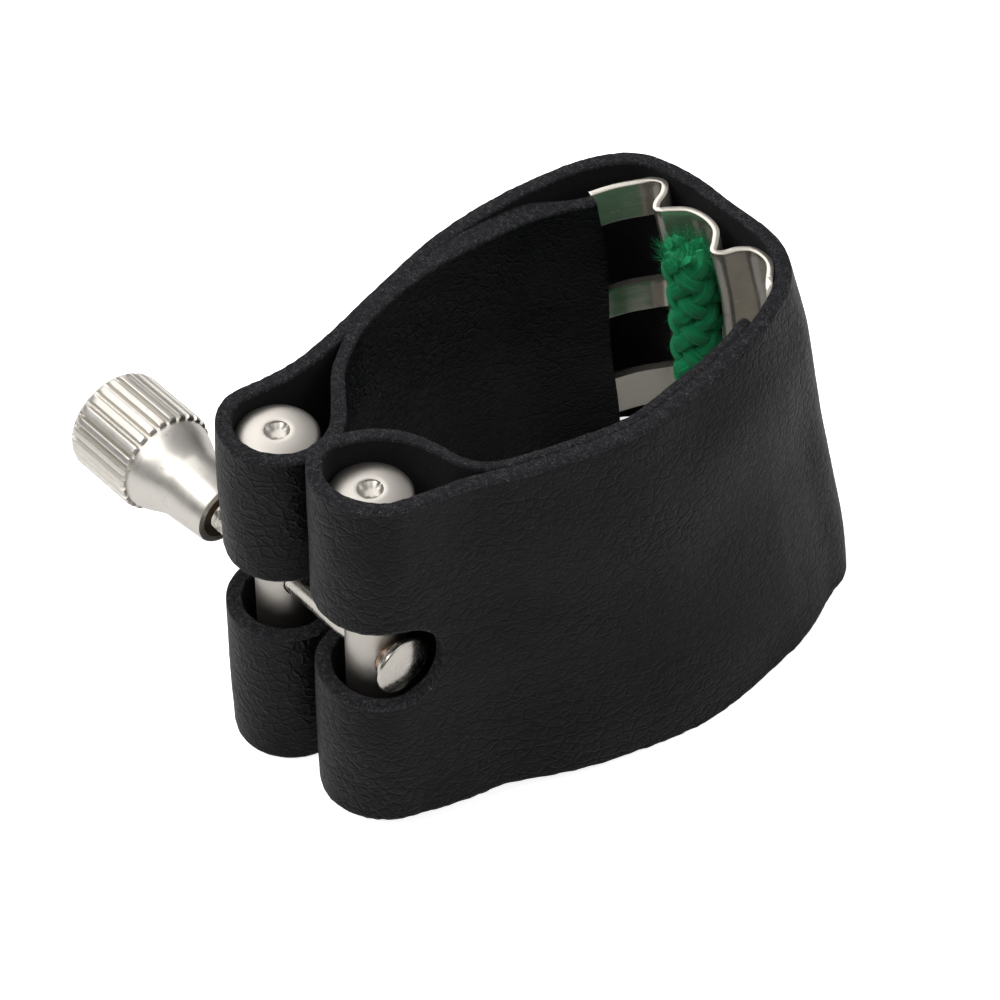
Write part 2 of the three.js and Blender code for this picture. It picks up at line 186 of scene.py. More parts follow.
def flare(p, mirror=False):
    """The lean of the band towards its wider lower edge, with the soft buckle of real leather."""
    p = np.array(p, float)
    x, y, z = p[:, 0].copy(), p[:, 1].copy(), p[:, 2]
    down = 1 - z / HEIGHT
    clipped = np.clip(down, 0, 1)
    wave = 0.035 * np.sin(down * 2 * math.pi * 1.6 - 0.4) * smooth(down, 0, 0.2)
    swell = clipped ** 0.85 + wave
    along = ramp(y, -14, BACK_Y)
    outer = ramp(np.abs(x), 3.5, 10.5)
    side = np.sin(ramp(along, 0, 0.62) * math.pi / 2)
    before_corner = 1 - smooth(y, 14.5, 18.5)
    bulge = -SIDE_HOLLOW * smooth(y, -8, -1) * before_corner * ramp(np.abs(x), 3.5, 8) * np.sign(x)
    if not mirror:
        foot = RIGHT_BULGE * np.exp(-((y - RIGHT_BULGE_Y) / RIGHT_BULGE_SPREAD) ** 2)
        bulge = bulge + (foot - RIGHT_HOLLOW * smooth(y, -16, -12)) * ramp(x, 5, 8) * before_corner
    lean = (-1 if mirror else 1) * FLARE_LEAN_X * along
    p[:, 0] = x + (np.sign(x) * FLARE_SIDE * outer * side + lean) * swell + bulge * clipped ** 1.2
    p[:, 1] = y + FLARE_BACK * along * swell
    return p


def raise_front(p, lifts):
    """Lifts the end of an arm: at its lower edge, at its upper edge, and the front of the loop's rim."""
    up = p[:, 2] / HEIGHT
    low, high, front = lifts
    whole = 1 - smooth(p[:, 1], LIFT_FROM_Y, LIFT_TO_Y)
    rim = 1 - smooth(p[:, 1], -20.5, -12.5)
    p[:, 2] += whole * (low + (high - low) * up) + rim * front * np.clip(up, 0, 1) ** 3
    return p


def to_row(p):
    return (np.asarray(p, float) + SHIFT) * MM


# ------------------------------------------------------------------ meshes
class Patches:
    """Collects grids of points into one mesh; touching grids are welded at the end."""

    def __init__(self):
        self.points, self.faces, self.slots = [], [], []

    def grid(self, rows, slot=0, close_across=False):
        rows = np.asarray(rows, float)
        n, m = rows.shape[:2]
        base = len(self.points)
        self.points.extend(map(tuple, rows.reshape(-1, 3)))
        for i in range(n - 1):
            for j in range(m if close_across else m - 1):
                k = (j + 1) % m
                here, beyond = base + i * m, base + (i + 1) * m
                self.faces.append([here + j, beyond + j, beyond + k, here + k])
                self.slots.append(slot)

    def fan(self, ring, tip, slot=0):
        base = len(self.points)
        self.points.extend(map(tuple, ring))
        self.points.append(tuple(tip))
        n = len(ring)
        for j in range(n):
            self.faces.append([base + j, base + (j + 1) % n, base + n])
            self.slots.append(slot)

    def raw(self, name):
        """The collected points and faces as they are."""
        me = bpy.data.meshes.new(name)
        me.from_pydata(self.points, [], self.faces)
        me.polygons.foreach_set("material_index", self.slots)
        return me

    def welded(self, name, weld=1e-4):
        me = self.raw(name)
        bm = bmesh.new()
        bm.from_mesh(me)
        bmesh.ops.remove_doubles(bm, verts=bm.verts, dist=weld)
        bmesh.ops.recalc_face_normals(bm, faces=bm.faces)
        bm.to_mesh(me)
        bm.free()
        return me

    def mesh(self, name, materials, shape=None, sharp=40):
        """Makes the object. shape(points) moves the welded points; materials is a list."""
        return finish_mesh(self.welded(name), name, materials, shape, sharp)


def link(obj):
    bpy.context.scene.collection.objects.link(obj)
    return obj


def coordinates(me):
    co = np.empty(len(me.vertices) * 3, np.float32)
    me.vertices.foreach_get("co", co)
    return co.reshape(-1, 3).astype(float)


def finish_mesh(me, name, materials, shape=None, sharp=40):
    """Moves points to the row frame, keeps their design place for the textures, and links the object."""
    co = coordinates(me)
    rest = me.attributes.new("rest_mm", "FLOAT_VECTOR", "POINT")
    rest.data.foreach_set("vector", co.astype(np.float32).ravel())
    if shape is not None:
        co = shape(co)
    me.vertices.foreach_set("co", to_row(co).astype(np.float32).ravel())
    for material in materials:
        me.materials.append(material)
    me.polygons.foreach_set("use_smooth", [True] * len(me.polygons))
    me.update()
    me.set_sharp_from_angle(angle=math.radians(sharp))
    return link(bpy.data.objects.new(name, me))


def revolve(profile, segments, wave=None):
    """Grid of a turned surface about +Z from (z, radius) points; wave(angle, z, r) changes the radius."""
    angle = np.arange(segments) * 2 * math.pi / segments
    rows = []
    for z, r in profile:
        radius = np.full(segments, float(r)) if wave is None else wave(angle, z, r)
        rows.append(np.stack([radius * np.cos(angle), radius * np.sin(angle), np.full(segments, z)], 1))
    return np.array(rows)


def turned(patches, profile, segments, place, wave=None, slot=0):
    """Adds a turned body with closed ends; place(points) puts it on its axis."""
    rows = revolve(profile, segments, wave)
    shape = rows.shape
    rows = place(rows.reshape(-1, 3)).reshape(shape)
    patches.grid(rows, slot, close_across=True)
    for ring, (_, r) in ((rows[0], profile[0]), (rows[-1], profile[-1])):
        if r > 1e-6:
            patches.fan(ring, ring.mean(0), slot)


def rounded(points, radius, steps=4):
    """Rounds the corners of an open polyline of (z, r) points."""
    points = [np.array(p, float) for p in points]
    out = [points[0]]
    for a, b, c in zip(points, points[1:], points[2:]):
        u, v = a - b, c - b
        reach = min(radius, 0.45 * np.linalg.norm(u), 0.45 * np.linalg.norm(v))
        start, end = b + u / np.linalg.norm(u) * reach, b + v / np.linalg.norm(v) * reach
        for k in range(steps + 1):
            t = k / steps
            out.append((1 - t) ** 2 * start + 2 * t * (1 - t) * b + t * t * end)
    out.append(points[-1])
    return out


# ------------------------------------------------------------------ materials
def new_material(name):
    material = bpy.data.materials.new(name)
    material.use_nodes = True
    nodes = material.node_tree.nodes
    nodes.clear()
    out = nodes.new("ShaderNodeOutputMaterial")
    shader = nodes.new("ShaderNodeBsdfPrincipled")
    material.node_tree.links.new(shader.outputs[0], out.inputs[0])
    return material, Nodes(material.node_tree), shader


class Nodes:
    """Short calls for the few shader nodes the materials use."""

    def __init__(self, tree):
        self.tree = tree
        self.rest = self.add("ShaderNodeAttribute", attribute_name="rest_mm").outputs["Vector"]

    def add(self, kind, inputs=None, **settings):
        node = self.tree.nodes.new(kind)
        for key, value in settings.items():
            setattr(node, key, value)
        for key, value in (inputs or {}).items():
            self.put(node.inputs[key], value)
        return node

    def put(self, socket, value):
        if isinstance(value, bpy.types.NodeSocket):
            self.tree.links.new(value, socket)
        elif hasattr(socket.default_value, "__len__") and not hasattr(value, "__len__"):
            socket.default_value = [value] * len(socket.default_value)
        else:
            socket.default_value = value

    def stretch(self, scale, vector=None):
        node = self.add("ShaderNodeMapping", {"Vector": vector or self.rest})
        node.inputs["Scale"].default_value = scale
        return node.outputs[0]

    def noise(self, scale, detail=4, rough=0.55, distort=0.0, vector=None):
        node = self.add("ShaderNodeTexNoise", {
            "Vector": vector or self.rest, "Scale": scale, "Detail": detail,
            "Roughness": rough, "Distortion": distort})
        return node.outputs["Fac"]

    def cells(self, scale, feature="DISTANCE_TO_EDGE", vector=None, randomness=1.0):
        node = self.add("ShaderNodeTexVoronoi", {
            "Vector": vector or self.rest, "Scale": scale, "Randomness": randomness}, feature=feature)
        return node.outputs["Distance"]

    def warp(self, amount, scale, vector=None):
        """The place coordinate pushed about by noise, so that cells lose their straight edges."""
        base = vector or self.rest
        kind = "ShaderNodeVectorMath"
        node = self.add("ShaderNodeTexNoise", {"Vector": base, "Scale": scale, "Detail": 3})
        color, middle = node.outputs["Color"], (0.5, 0.5, 0.5)
        centred = self.add(kind, {0: color, 1: middle}, operation="SUBTRACT").outputs[0]
        scaled = self.add(kind, {0: centred, "Scale": amount}, operation="SCALE").outputs[0]
        return self.add(kind, {0: base, 1: scaled}, operation="ADD").outputs[0]

    def fit(self, value, low, high, to_low=0.0, to_high=1.0):
        return self.add("ShaderNodeMapRange", {
            "Value": value, "From Min": low, "From Max": high,
            "To Min": to_low, "To Max": to_high}, interpolation_type="SMOOTHSTEP").outputs[0]

    def math(self, kind, a, b=0.0):
        return self.add("ShaderNodeMath", {0: a, 1: b}, operation=kind).outputs[0]

    def mix(self, factor, a, b):
        node = self.add("ShaderNodeMix", data_type="RGBA")
        for socket, value in ((node.inputs["Factor"], factor), (node.inputs[6], a), (node.inputs[7], b)):
            self.put(socket, value)
        return node.outputs[2]

    def bump(self, height, strength, distance):
        inputs = {"Height": height, "Strength": strength, "Distance": distance * MM}
        return self.add("ShaderNodeBump", inputs).outputs[0]


def rgb(r, g, b):
    return (r, g, b, 1.0)


def leather_material():
    """Black satin leather: small soft pebbles between fine wrinkles, and a faint blue-black sheen."""
    material, n, s = new_material("leather_grain")
    place = n.warp(0.8, 0.9, n.stretch((1, 1, 1.15)))
    wrinkles = n.fit(n.cells(1.0, vector=place), 0.0, 0.16)
    pebbles = n.fit(n.cells(2.6, vector=n.warp(0.5, 2.0)), 0.0, 0.3)
    fine = n.noise(10.0, 4, 0.6)
    broad = n.fit(n.noise(0.13, 2), 0.3, 0.7, 0.25, 1.0)
    height = n.math("ADD", n.math("MULTIPLY", wrinkles, broad), n.math("MULTIPLY", pebbles, 0.35))
    height = n.math("ADD", height, n.math("MULTIPLY", fine, 0.35))
    tone = n.mix(n.fit(n.noise(0.6, 4), 0.3, 0.75), rgb(0.0014, 0.0015, 0.0019), rgb(0.0028, 0.003, 0.0038))
    n.put(s.inputs["Base Color"], tone)
    dull = n.math("ADD", n.noise(3.2, 4), n.math("MULTIPLY", wrinkles, -0.1))
    n.put(s.inputs["Roughness"], n.fit(dull, 0.2, 0.8, 0.38, 0.55))
    n.put(s.inputs["Specular IOR Level"], 0.11)
    n.put(s.inputs["Normal"], n.bump(height, 0.7, 0.07))
    return material


def flesh_material():
    """Dark napped inner side of the hide."""
    material, n, s = new_material("leather_flesh")
    nap = n.noise(5.0, 6, 0.7)
    tone = n.mix(n.fit(nap, 0.35, 0.8), rgb(0.0045, 0.0045, 0.005), rgb(0.014, 0.0135, 0.0135))
    n.put(s.inputs["Base Color"], tone)
    n.put(s.inputs["Roughness"], n.fit(nap, 0, 1, 0.8, 1.0))
    n.put(s.inputs["Specular IOR Level"], 0.12)
    n.put(s.inputs["Sheen Weight"], 0.05)
    n.put(s.inputs["Normal"], n.bump(nap, 0.8, 0.12))
    return material


def cut_edge_material():
    """Cut edge of the hide: charcoal, matted and pitted, crossed by short pale fibres."""
    material, n, s = new_material("leather_cut_edge")
    threads = n.fit(n.cells(3.6, vector=n.warp(0.9, 3.0)), 0.0, 0.10, 1.0, 0.0)
    pits = n.fit(n.cells(5.5, "F1", n.warp(0.4, 4.0)), 0.15, 0.55)
    patchy = n.fit(n.noise(2.4, 3), 0.40, 0.60)
    lit = n.math("MULTIPLY", threads, patchy)
    pile = n.noise(7.0, 5, 0.75)
    dark = n.mix(n.fit(pile, 0.35, 0.7), rgb(0.006, 0.006, 0.007), rgb(0.036, 0.036, 0.042))
    n.put(s.inputs["Base Color"], n.mix(lit, dark, rgb(0.16, 0.16, 0.17)))
    n.put(s.inputs["Roughness"], 0.85)
    n.put(s.inputs["Specular IOR Level"], 0.25)
    height = n.math("ADD", n.math("MULTIPLY", pits, 0.8), n.math("ADD", pile, n.math("MULTIPLY", lit, 0.8)))
    n.put(s.inputs["Normal"], n.bump(height, 1.0, 0.22))
    return material


def nickel_material(name, streak, tint, rough=(0.16, 0.34), metallic=1.0):
    """Nickel plate with fine tool marks drawn out along streak, dull patches and brownish stains."""
    material, n, s = new_material(name)
    marks = n.noise(1.0, 5, 0.65, vector=n.stretch(streak))
    worn = n.noise(0.9, 4)
    stain = n.fit(n.noise(1.7, 5, 0.65), 0.60, 0.74)
    base = n.mix(n.fit(marks, 0.3, 0.7), rgb(*[0.93 * c for c in tint]), rgb(*tint))
    n.put(s.inputs["Base Color"], n.mix(n.math("MULTIPLY", stain, 0.45), base, rgb(0.36, 0.27, 0.19)))
    n.put(s.inputs["Metallic"], metallic)
    level = n.math("ADD", n.math("MULTIPLY", marks, 0.6), n.math("MULTIPLY", worn, 0.4))
    n.put(s.inputs["Roughness"], n.fit(level, 0.3, 0.7, *rough))
    n.put(s.inputs["Normal"], n.bump(marks, 0.25, 0.02))
    return material


def cord_material():
    """Emerald yarn: fine filaments along each strand and lighter worn crests."""
    material, n, s = new_material("cord_yarn")
    uv = n.add("ShaderNodeAttribute", attribute_name="strand").outputs["Vector"]
    filaments = n.noise(1.0, 4, 0.6, vector=n.stretch((0.9, 26.0, 1.0), uv))
    clumps = n.noise(1.3, 3)
    tone = n.mix(n.fit(filaments, 0.25, 0.8), rgb(0.0, 0.10, 0.035), rgb(0.004, 0.46, 0.16))
    n.put(s.inputs["Base Color"], n.mix(n.fit(clumps, 0.4, 0.8, 0, 0.4), tone, rgb(0.002, 0.20, 0.07)))
    n.put(s.inputs["Roughness"], 0.62)
    n.put(s.inputs["Specular IOR Level"], 0.35)
    n.put(s.inputs["Sheen Weight"], 0.35)
    n.put(s.inputs["Sheen Tint"], rgb(0.2, 1.0, 0.5))
    n.put(s.inputs["Normal"], n.bump(filaments, 0.9, 0.12))
    return material


def fibre_material(name, color):
    material, n, s = new_material(name)
    n.put(s.inputs["Base Color"], n.mix(n.noise(0.8, 2), rgb(*[0.5 * c for c in color]), rgb(*color)))
    n.put(s.inputs["Roughness"], 0.7)
    return material


GRAIN, FLESH, CUT = leather_material(), flesh_material(), cut_edge_material()
PIN_METAL = nickel_material("nickel_pin", (9.0, 9.0, 0.7), tint=(0.56, 0.525, 0.48), rough=(0.28, 0.46))
BOLT_METAL = nickel_material("nickel_bolt", (14.0, 0.7, 0.7), tint=(0.58, 0.55, 0.50))
# dark brownish nickel: painted shade for the bolt's collar in the gap where it leaves the right pin
COLLAR_SHADE_METAL = nickel_material("collar_painted_shade", (12.0, 0.7, 0.7), tint=(0.38, 0.27, 0.20), rough=(0.25, 0.4))
NUT_METAL = nickel_material("nickel_nut", (16.0, 0.8, 0.8), tint=(0.68, 0.65, 0.60), rough=(0.32, 0.48))
SHEET = nickel_material(
    "nickel_sheet", (0.5, 0.5, 6.0), tint=(0.64, 0.60, 0.53), rough=(0.15, 0.28), metallic=0.82)
# nickel darkened almost to black: painted shade for the insides of holes and the nut's threaded bore
BORE_SHADE_METAL = nickel_material("bore_painted_shade", (1, 1, 1), tint=(0.10, 0.08, 0.06), rough=(0.4, 0.6))
YARN = cord_material()
YARN_FUZZ = fibre_material("cord_fibres", (0.01, 0.34, 0.13))


# ------------------------------------------------------------------ fibres
def fibres(patches, roots, outwards, rng, length, width, slot=0, curl=0.6, lean=0.7):
    """Thin tapering hairs that stand on roots, three-sided, each with a random lean and curl."""
    for root, out in zip(roots, outwards):
        size = length * rng.uniform(0.4, 1.3)
        side = Vector([rng.gauss(0, 1) for _ in range(3)]).normalized()
        heading = (Vector(out) + side * lean * rng.random()).normalized()
        bend = Vector([rng.gauss(0, 1) for _ in range(3)]).normalized() * curl
        point = Vector(root)
        rings = []
        for k in range(5):
            t = k / 4
            u = heading.orthogonal().normalized()
            v = heading.cross(u)
            r = width * (1 - 0.75 * t)
            corners = [u * math.cos(a) + v * math.sin(a) for a in (0, 2.094, 4.189)]
            rings.append([tuple(point + corner * r) for corner in corners])
            point = point + heading * size / 4
            heading = (heading + bend * 0.35).normalized()
        patches.grid(rings, slot, close_across=True)


# ------------------------------------------------------------------ leather strap
STEP = 0.30
# (offset across the thickness as a share of half of it, depth below the cut) round a cut edge
CUT_PROFILE = [(1, 0.26), (0.975, 0.12), (0.87, 0.035), (0.6, 0.0), (0.2, -0.015),
               (-0.2, -0.015), (-0.6, 0.0), (-0.87, 0.035), (-0.975, 0.12), (-1, 0.26)]


def strap_path(side_points, loop, crossing_points, glue_from_y, lining_end_y, slack):
    """Middle of the folded strip: back centre, side, loop, crossing, and the glued lining.

    slack is how far the lining stands off the outer layer at the front, in the middle and at its end.
    """
    across, deep = loop
    ghost = (-side_points[0][0], side_points[0][1])
    side = spline([(0, BACK_Y)] + side_points + [(PIN_X + across, PIN_Y)], 0.1, before=ghost)
    angle = np.radians(np.linspace(0, -180, 110))[1:-1]
    arc = np.stack([PIN_X + across * np.cos(angle), PIN_Y + deep * np.sin(angle)], 1)
    front, middle, end = slack
    stand_off = LEATHER + front + (middle - front) * smooth(side[:, 1], -4.5, 7)
    stand_off = stand_off + (end - middle) * smooth(side[:, 1], 9, lining_end_y + 1)
    inside = side - left_normals(side) * stand_off[:, None]
    glued = inside[(inside[:, 1] > glue_from_y) & (inside[:, 1] < lining_end_y)][::-1]
    start = [(PIN_X - across, PIN_Y)]
    crossing = spline(start + crossing_points + [tuple(glued[0]), tuple(glued[8])], 0.1)
    return resample(np.vstack([side, arc, crossing, glued[9:]]), 0.05)


def slot_half_height(y, slot_y, radius):
    return np.sqrt(np.clip(radius ** 2 - np.clip(y - slot_y, 0, None) ** 2, 0, None))


def path_columns(path, slot_y, radius):
    """Indexes of the columns: evenly spaced, closer where the slot rounds off, exact at its two ends."""
    h = slot_half_height(path[:, 1], slot_y, radius)
    inside = np.flatnonzero(h > 0)
    first, last = inside[0] - 1, inside[-1] + 1
    picks = set(range(0, len(path), int(round(STEP / 0.05)))) | {first, last, len(path) - 1}
    for level in np.linspace(0.1, 0.97, 9):
        high = np.flatnonzero(h > radius * level)
        picks |= {high[0], high[-1]}
    picks = sorted(picks)
    thinned = [picks[0]]
    for p in picks[1:]:
        if p - thinned[-1] >= 2 or p in (first, last, len(path) - 1):
            thinned.append(p)
    return np.array(thinned), first, last


def strap_half(name, mirror, path, slot, lifts, lining):
    """One half of the strap, from the middle of the back to the end of its lining.

    lining is (share thinned off its whole length, share matted on in its middle, drop of its end in mm).
    """
    slot_z, slot_y, slot_radius = slot
    normal = left_normals(path)
    columns, first, last = path_columns(path, slot_y, slot_radius)
    centre, normal = path[columns], normal[columns]
    slotted = (columns > first) & (columns < last)
    half_height = np.where(slotted, slot_half_height(centre[:, 1], slot_y, slot_radius), 0.0)
    z_mid = slot_z - (lifts[0] + lifts[1]) / 2
    rows = int(z_mid / STEP)
    skived, matted, dropped = lining
    swollen = smooth(centre[:, 1], -4, 7) * (1 - smooth(centre[:, 1], 9.5, 13))
    change = matted * swollen - skived * smooth(centre[:, 1], -14, -9)
    half = LEATHER / 2 * (1 + change * (columns > last))
    sink = dropped * smooth(centre[:, 1], 3, 13) * (columns > last)

    def column_points(i, share, z):
        x, y = centre[i] + normal[i] * share * half[i]
        return np.stack([np.full(len(z), x), np.full(len(z), y), z - sink[i]], 1)

    def edge(i, z, way, soften=1.0):
        offsets = np.array([o for o, _ in CUT_PROFILE]) * half[i]
        depths = np.array([d for _, d in CUT_PROFILE]) * soften
        xy = centre[i] + normal[i] * offsets[:, None]
        return np.column_stack([xy, z + way * depths - sink[i]])

    patches = Patches()
    inner_depth = CUT_PROFILE[0][1]
    soften = np.clip(half_height / 0.8, 0, 1)
    t = np.linspace(0, 1, rows + 1)
    for share, slot in ((1, 0), (-1, 1)):
        lower, upper = [], []
        for i in range(len(columns)):
            gap = half_height[i] + inner_depth * soften[i] * (half_height[i] > 0)
            low, high = z_mid - gap, z_mid + gap
            lower.append(column_points(i, share, inner_depth + t * (low - inner_depth)))
            upper.append(column_points(i, share, high + t * (HEIGHT - inner_depth - high)))
        patches.grid(lower, slot)
        patches.grid(upper, slot)
    everywhere = range(len(columns))
    patches.grid([edge(i, 0.0, 1) for i in everywhere], 2)
    patches.grid([edge(i, HEIGHT, -1) for i in everywhere], 2)
    cut = [i for i in everywhere if first <= columns[i] <= last]
    patches.grid([edge(i, z_mid - half_height[i], -1, soften[i]) for i in cut], 2)
    patches.grid([edge(i, z_mid + half_height[i], 1, soften[i]) for i in cut], 2)
    tail = len(columns) - 1
    across = [o for o, _ in CUT_PROFILE]
    for z in (inner_depth + t * (z_mid - inner_depth), z_mid + t * (HEIGHT - inner_depth - z_mid)):
        patches.grid([column_points(tail, o, z) for o in across], 2)
    for z, way in ((0.0, 1), (HEIGHT, -1)):
        rim = edge(tail, z, way)
        inner = rim.copy()
        inner[:, 2] = (inner_depth if way == 1 else HEIGHT - inner_depth) - sink[tail]
        patches.grid([rim, inner], 2)

    def shape(p):
        """Loose waviness, rough cut edges, the flare and the lift of the arm."""
        seed = Vector((17.3, 5.1, 2.2)) if mirror else Vector((3.7, 9.9, 1.4))
        side = np.clip(np.abs(p[:, 0]) / 3.0, 0, 1)
        broad = np.array([noise.noise_vector(Vector(q) * 0.16 + seed) for q in p])
        rough = np.array([noise.noise_vector(Vector(q) * 2.3 + seed) for q in p])
        near_cut = np.maximum(1 - p[:, 2] / 0.3, 1 - (HEIGHT - p[:, 2]) / 0.3)
        level = np.abs(p[:, 2] - z_mid) < slot_radius + 0.2
        near_slot = level & (p[:, 1] < slot_y + slot_radius + 0.3)
        ragged = np.clip(np.maximum(near_cut, near_slot * 0.5), 0, 1)
        depth = 0.012 + 0.055 * ragged
        p = p + (broad * 0.16 + rough * depth[:, None]) * side[:, None]
        p = raise_front(flare(p, mirror), lifts)
        if mirror:
            p[:, 0] *= -1
        return p

    obj = patches.mesh(name, [GRAIN, FLESH, CUT], shape=shape, sharp=60)
    bend_between(obj)
    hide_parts("strap_back", f"strap_arm_{'left' if mirror else 'right'}")


def bend_between(obj):
    """Bakes the strap's transform into its mesh; the strap is not bent here."""
    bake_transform(obj)


strap_half(
    "strap_left", True, slot=LEFT_SLOT, lifts=LEFT_LIFTS, lining=(0.16, 0.71, 1.0),
    path=strap_path(LEFT_SIDE, LEFT_LOOP, LEFT_CROSSING, -5.8, 14.2, slack=(-0.5, 0.3, 1.6)))
strap_half(
    "strap_right", False, slot=RIGHT_SLOT, lifts=RIGHT_LIFTS, lining=(0.34, 0.0, 0.1),
    path=strap_path(RIGHT_SIDE, RIGHT_LOOP, RIGHT_CROSSING, -8.6, 13.2, slack=(-0.22, -0.2, -0.1)))


# ------------------------------------------------------------------ pins
def add_piece(obj, body, node):
    """Makes a piece ride with a body and stand for a CAD node."""
    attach(obj, body)
    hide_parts(node)


def cut_with(obj, cutter):
    """Subtracts a closed mesh from a piece and applies it."""
    modifier = obj.modifiers.new("cut", "BOOLEAN")
    modifier.operation = "DIFFERENCE"
    modifier.solver = "EXACT"
    modifier.object = cutter
    dg = bpy.context.evaluated_depsgraph_get()
    me = bpy.data.meshes.new_from_object(obj.evaluated_get(dg))
    obj.modifiers.clear()
    obj.data = me
    bpy.data.objects.remove(cutter)
    me.set_sharp_from_angle(angle=math.radians(35))


def rod(radius, start, end, place, segments=64):
    patches = Patches()
    turned(patches, [(start, radius), (end, radius)], segments, place)
    return patches.mesh("cutter", [BORE_SHADE_METAL])


def along_x(points):
    """A body turned about +Z laid along +X on the bolt's axis."""
    p = np.asarray(points)
    return np.stack([p[:, 2], p[:, 1] + PIN_Y, BOLT_Z - p[:, 0]], 1)


def pin(name, x, low, node, body):
    high = low + PIN_LENGTH
    head, shaft, dome, rim = PIN_HEAD_RADIUS, PIN_RADIUS, 0.62, 0.7
    under = high - dome - rim
    quarter = [(math.sin(a), math.cos(a)) for a in np.linspace(0, math.acos(0.34), 14)]
    crown = [(high - dome + dome * s, head * c) for s, c in quarter]
    corners = [(under - 4, shaft), (under, shaft), (under, head), (high - dome - 0.05, head)]
    upper = rounded(corners, 0.12)[1:-1] + crown[1:]
    drilled = [(0.06, 0.86), (0.22, 0.80), (0.36, 0.56), (0.40, 0.30), (0.40, 0.0)]
    upper += [(high - depth, r) for depth, r in drilled]
    lower = [(low + high - z, r) for z, r in upper][::-1]
    patches = Patches()

    def place(p):
        return p + np.array([x, PIN_Y, 0])

    def chatter(angle, z, r):
        """Rough drill mark in the middle of each head."""
        deep = 0.1 < r < 0.84 and (z > high - 0.6 or z < low + 0.6)
        return r * (1 + (0.10 * np.sin(3 * angle + 1) + 0.05 * np.sin(7 * angle)) * deep)

    turned(patches, lower + upper, 96, place, wave=chatter)
    obj = patches.mesh(name, [PIN_METAL, BORE_SHADE_METAL], sharp=35)
    cut_with(obj, rod(SHANK_RADIUS + 0.08, x - 4, x + 4, along_x))
    add_piece(obj, body, node)


pin("pin_left_turned", -PIN_X, PIN_LOW_Z, "pin_left", "left_pin")
pin("pin_right_turned", PIN_X, PIN_LOW_Z + PIN_LIFT, "pin_right", "right_pin_and_bolt")


# ------------------------------------------------------------------ bolt
def thread(angle, z, _, crest=SHANK_RADIUS, root=1.0):
    phase = (z / THREAD_PITCH - angle / (2 * math.pi)) % 1.0
    tooth = np.clip(np.abs(phase - 0.5) * 2 * 1.25 - 0.125, 0, 1)
    return root + (crest - root) * tooth


def bolt():
    patches = Patches()
    seat = PIN_X + PIN_RADIUS - 0.04
    shank = rounded([(-8.2, 1.0), (-7.7, SHANK_RADIUS), (seat + 0.02, SHANK_RADIUS)], 0.1)
    turned(patches, shank, 64, along_x)
    turns = np.arange(-21.4, -8.0, 0.06)
    turned(patches, [(z, 1.2) for z in turns], 56, along_x, wave=thread)
    inner, ring, neck = seat - 0.3, seat + 0.26, 1.5
    collar = rounded([(inner, 0), (inner, neck), (ring - 0.04, neck), (ring - 0.04, 0)], 0.10)
    # the collar at the pin's side is painted dark as the shade of that gap
    turned(patches, collar, 64, along_x, slot=1)
    shoulder = [(ring, 0), (ring, 1.82), (7.18, 1.82)]
    head = [(7.34, 2.12), (7.42, 2.19), (7.58, 2.17), (7.66, 2.10), (7.92, 1.3), (8.10, 0.4), (8.12, 0)]
    turned(patches, rounded(shoulder + head, 0.08), 72, along_x)
    obj = patches.mesh("clamp_bolt_turned", [BOLT_METAL, COLLAR_SHADE_METAL], sharp=35)
    add_piece(obj, "right_pin_and_bolt", "clamp_bolt")


bolt()


# ------------------------------------------------------------------ thumb nut
def thumb_nut():
    inner, neck, knurl, outer = -10.9, -14.3, -17.3, -23.5
    radius, root, flutes, edge = 3.85, 3.5, 26, 0.9
    round_edge = [(1 - math.cos(a), 1 - math.sin(a)) for a in np.linspace(0.1, math.pi / 2, 9)]
    body = [(outer, 0.0), (outer, radius - edge)]
    body += [(outer + edge * across, radius - edge * down) for across, down in round_edge]
    body += [(z, radius) for z in np.linspace(outer + 1.2, knurl - 0.3, 14)]
    body += [(knurl - 0.12, radius - 0.02), (knurl - 0.02, radius - 0.12), (knurl, root)]
    for t in np.linspace(0.06, 1, 18):
        blend = (1 - math.cos(t * math.pi)) / 2
        body.append((knurl + (neck - knurl) * t, root + (2.62 - root) * blend))
    body += [(inner - 0.14, 2.36), (inner - 0.03, 2.3), (inner, 2.2), (inner, 1.86)]

    def grip(angle, z, r):
        phase = (angle * flutes / (2 * math.pi)) % 1.0
        groove = smooth(1.7 * np.clip(1 - np.abs(phase - 0.5) / 0.24, 0, 1), 0, 1)
        if z > knurl - 0.001 or r <= root:
            return np.full(len(angle), r)
        return np.maximum(r - (radius - root) * groove, root)

    patches = Patches()
    rows = revolve(body, flutes * 14, grip)
    shape = rows.shape
    patches.grid(along_x(rows.reshape(-1, 3)).reshape(shape), 0, close_across=True)
    bore = [(inner, 1.86), (inner - 0.5, 1.36)]
    bore += [(z, 1.3) for z in np.arange(inner - 0.45, inner - 6, -0.06)] + [(inner - 6.05, 0)]

    def inner_thread(angle, z, r):
        if z > inner - 0.42 or z < inner - 6:
            return np.full(len(angle), r)
        return thread(angle, z, r, crest=1.34, root=1.27)

    # the nut's threaded bore takes the near-black metal as painted shade
    turned(patches, bore, 56, along_x, wave=inner_thread, slot=1)
    obj = patches.mesh("thumb_nut_knurled", [NUT_METAL, BORE_SHADE_METAL], sharp=38)
    add_piece(obj, "nut", "thumb_nut")


thumb_nut()


# ------------------------------------------------------------------ reed plate
def plate_windows():
    """(x from, x to, z from, z to) of the openings stamped in the sheet."""
    middle, bar, high = 16.4, 2.9, 6.9  # the windows are a little above the middle of the sheet
    for way in (-1, 1):
        near = middle + way * bar / 2
        far = near + way * high
        z0, z1 = min(near, far), max(near, far)
        yield (-10.0, PLATE_X - 4.2, z0, z1)
        yield (PLATE_X - 1.2, PLATE_X + 1.2, z0, z1)


